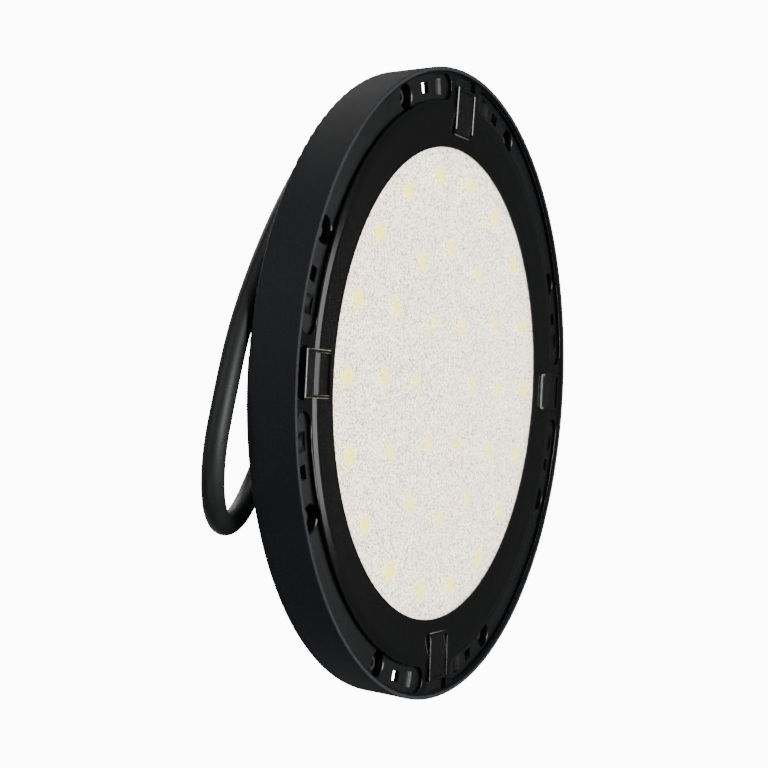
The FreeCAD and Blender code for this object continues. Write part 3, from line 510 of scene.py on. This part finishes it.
class LIGHT_OT_lens(bpy.types.Operator):
    """Finishes the lens, the lamps and the board behind it."""

    bl_idname = "high_bay.lens"
    bl_label = "Lens and lamps"

    def execute(self, context):
        settings = context.scene.high_bay_lens
        finish_nodes(frosted_lens(settings), "lens")
        finish_nodes(board_painted_glow(settings), "led_board")
        finish_nodes(phosphor(settings), "led_chips")
        finish_nodes(plain("thermal_pad", (0.5, 0.52, 0.55), 0.7), "thermal_pad")
        nylon = plain("white_nylon", (0.8, 0.8, 0.77), 0.5, contrast=0.06)
        finish_nodes(nylon, "board_connector", "board_spacers")
        finish_nodes(plain("silicone_wire", (0.75, 0.7, 0.62), 0.5, contrast=0.08), "led_leads")
        return {"FINISHED"}


class LIGHT_OT_driver(bpy.types.Operator):
    """Finishes the driver inside the cover."""

    bl_idname = "high_bay.driver"
    bl_label = "Driver"

    def execute(self, context):
        finish_nodes(plain("green_laminate", (0.03, 0.16, 0.07), 0.35), "driver_board")
        finish_nodes(plain("terminal_plastic", (0.1, 0.28, 0.14), 0.5), "terminal_block")
        finish_nodes(plain("transformer_tape", (0.55, 0.4, 0.08), 0.35), "transformer")
        sleeve = plain("capacitor_sleeve", (0.04, 0.045, 0.08), 0.3)
        finish_nodes(sleeve, "input_capacitor", "output_capacitor")
        finish_nodes(plain("cast_resin", (0.5, 0.09, 0.06), 0.3), "film_capacitor")
        copper = plain("enamelled_copper", (0.45, 0.17, 0.06), 0.3, metallic=0.7)
        finish_nodes(copper, "filter_choke")
        sink_metal = plain("sink_metal", (0.7, 0.7, 0.72), 0.35, metallic=1.0, contrast=0.08)
        finish_nodes(sink_metal, "transistor_sink")
        return {"FINISHED"}


# Stage.

# The camera's place in metres, its turn as a rotation matrix and its sensor in millimetres.
CAMERA_PLACE = Vector((-0.00895, -0.63748, -0.29051))
CAMERA_TURN = Matrix((
    (0.05057282, 0.99866271, -0.01073268),
    (0.45372376, -0.03254758, -0.89054781),
    (-0.88970621, 0.04016784, -0.45476302),
))
SENSOR_WIDTH = 36.0

# Share of the floor's radius at which it begins to fade.
FADE_START = 0.3


def floor_paper(settings):
    """Matte pale paper that fades into the backdrop far from the part."""
    mat = Finish("floor_paper", roughness=0.9)
    grain = mat.noise(0.004, detail=2.0)
    dark, pale = tint(settings.floor_colour, 0.99), tint(settings.floor_colour, 1.01)
    mat.link("Base Color", mat.mix(grain, dark, pale))
    end = settings.floor_radius
    mat.link("Alpha", 1 - mat.radius().step(end * FADE_START, end))
    mat.bump(grain, 0.00002, 0.2)
    return mat.material


# Each light: name, place and size in metres, watts, and whether gloss shows it.
LIGHTS = (
    ("lens_softbox", (0.15, 0.35, -1.4), (1.2, 1.2), 92.0, False),
    ("low_strip", (0.0, 0.72, -0.85), (0.5, 0.15), 1.0, True),
    ("spark_softbox", (0.0, 0.36, -1.0), (0.3, 0.2), 5.0, True),
    ("edge_softbox", (0.15, -0.50, -0.98), (0.75, 0.3), 12.5, True),
    ("rib_light", (0.02, -1.35, 0.69), (0.14, 0.14), 1.4, True),
    ("rear_strip", (0.65, -1.3, 0.6), (0.35, 1.0), 3.3, True),
    ("top_softbox", (1.4, -0.3, 0.15), (0.6, 0.6), 4.5, True),
    ("base_softbox", (-1.0, -0.95, 0.15), (0.6, 0.6), 1.4, True),
    ("ceiling_softbox", (-0.3, 0.3, 2.0), (1.6, 1.6), 170.0, False),
    ("back_softbox", (0.9, 0.7, 1.2), (0.9, 0.9), 9.0, True),
    ("back_fill", (-0.9, 0.8, 1.1), (0.9, 0.9), 1.2, True),
)


def area_light(name, place, size, watts, in_gloss):
    """A soft rectangle of light that faces the part."""
    data = bpy.data.lights.new(name, "AREA")
    data.shape = "RECTANGLE"
    data.size, data.size_y = size
    data.energy = watts
    obj = bpy.data.objects.new(name, data)
    bpy.context.collection.objects.link(obj)
    obj.location = place
    obj.rotation_euler = (-Vector(place)).to_track_quat("-Z", "Y").to_euler()
    obj.visible_camera = False
    obj.visible_glossy = in_gloss


def by_ray(tree, ray_kind, other, this):
    """A strength that is one value for this kind of ray and another for the rest."""
    made = tree.nodes.new("ShaderNodeMapRange")
    tree.links.new(ray_kind, made.inputs["Value"])
    for socket, value in ((made.inputs["To Min"], other), (made.inputs["To Max"], this)):
        if isinstance(value, float):
            socket.default_value = value
        else:
            tree.links.new(value, socket)
    return made.outputs["Result"]


class LIGHT_OT_stage(bpy.types.Operator):
    """Sets the camera, the floor and soft studio light."""

    bl_idname = "high_bay.stage"
    bl_label = "Studio"

    def execute(self, context):
        settings = context.scene.high_bay_stage
        data = bpy.data.cameras.new("camera")
        data.lens = settings.lens_mm
        data.sensor_width = SENSOR_WIDTH
        data.clip_start = 0.01
        camera = bpy.data.objects.new("camera", data)
        context.collection.objects.link(camera)
        camera.matrix_world = Matrix.Translation(CAMERA_PLACE) @ CAMERA_TURN.to_4x4()
        context.scene.camera = camera
        bm = bmesh.new()
        bmesh.ops.create_circle(bm, cap_ends=True, segments=96, radius=settings.floor_radius)
        bmesh.ops.translate(bm, verts=bm.verts, vec=(0, 0, -settings.floor_drop))
        mesh = bpy.data.meshes.new("floor")
        bm.to_mesh(mesh)
        bm.free()
        floor = bpy.data.objects.new("floor", mesh)
        context.collection.objects.link(floor)
        give(floor, floor_paper(settings))
        floor.visible_glossy = False
        world = bpy.data.worlds.new("studio")
        context.scene.world = world
        world.use_nodes = True
        tree = world.node_tree
        background = next(n for n in tree.nodes if n.type == "BACKGROUND")
        background.inputs["Color"].default_value = (1, 1, 1, 1)
        rays = tree.nodes.new("ShaderNodeLightPath")
        walls = by_ray(tree, rays.outputs["Is Glossy Ray"], settings.fill, settings.sheen)
        strength = by_ray(tree, rays.outputs["Is Camera Ray"], walls, settings.backdrop)
        tree.links.new(strength, background.inputs["Strength"])
        for name, place, size, watts, in_gloss in LIGHTS:
            area_light(name, place, size, watts, in_gloss)
        return {"FINISHED"}


class VIEW3D_PT_high_bay(bpy.types.Panel):
    """Lists the steps that dress the light."""

    bl_idname = "VIEW3D_PT_high_bay"
    bl_label = "High bay light"
    bl_space_type = "VIEW_3D"
    bl_region_type = "UI"
    bl_category = "High Bay"

    def draw(self, context):
        layout = self.layout
        for name in SETTINGS:
            group = getattr(context.scene, name)
            box = layout.box()
            for prop in group.bl_rna.properties:
                if prop.identifier not in ("rna_type", "name"):
                    box.prop(group, prop.identifier)
        for operator in OPERATORS:
            layout.operator(operator.bl_idname)


SETTINGS = {
    "high_bay_body": BodySettings,
    "high_bay_lens": LensSettings,
    "high_bay_lead": LeadSettings,
    "high_bay_stage": StageSettings,
}
OPERATORS = (LIGHT_OT_stage, LIGHT_OT_lead, LIGHT_OT_body, LIGHT_OT_lens, LIGHT_OT_driver)
CLASSES = tuple(SETTINGS.values()) + OPERATORS + (VIEW3D_PT_high_bay,)


def register():
    """Adds the settings, steps and panel to Blender."""
    for cls in CLASSES:
        bpy.utils.register_class(cls)
    for name, group in SETTINGS.items():
        setattr(bpy.types.Scene, name, PointerProperty(type=group))


def unregister():
    """Takes them away again."""
    for name in SETTINGS:
        delattr(bpy.types.Scene, name)
    for cls in reversed(CLASSES):
        bpy.utils.unregister_class(cls)


def main():
    register()
    bpy.ops.high_bay.stage()
    bpy.ops.high_bay.lead()
    bpy.ops.high_bay.body()
    bpy.ops.high_bay.lens()
    bpy.ops.high_bay.driver()
    bpy.context.view_layer.update()


if __name__ == "__main__":
    main()
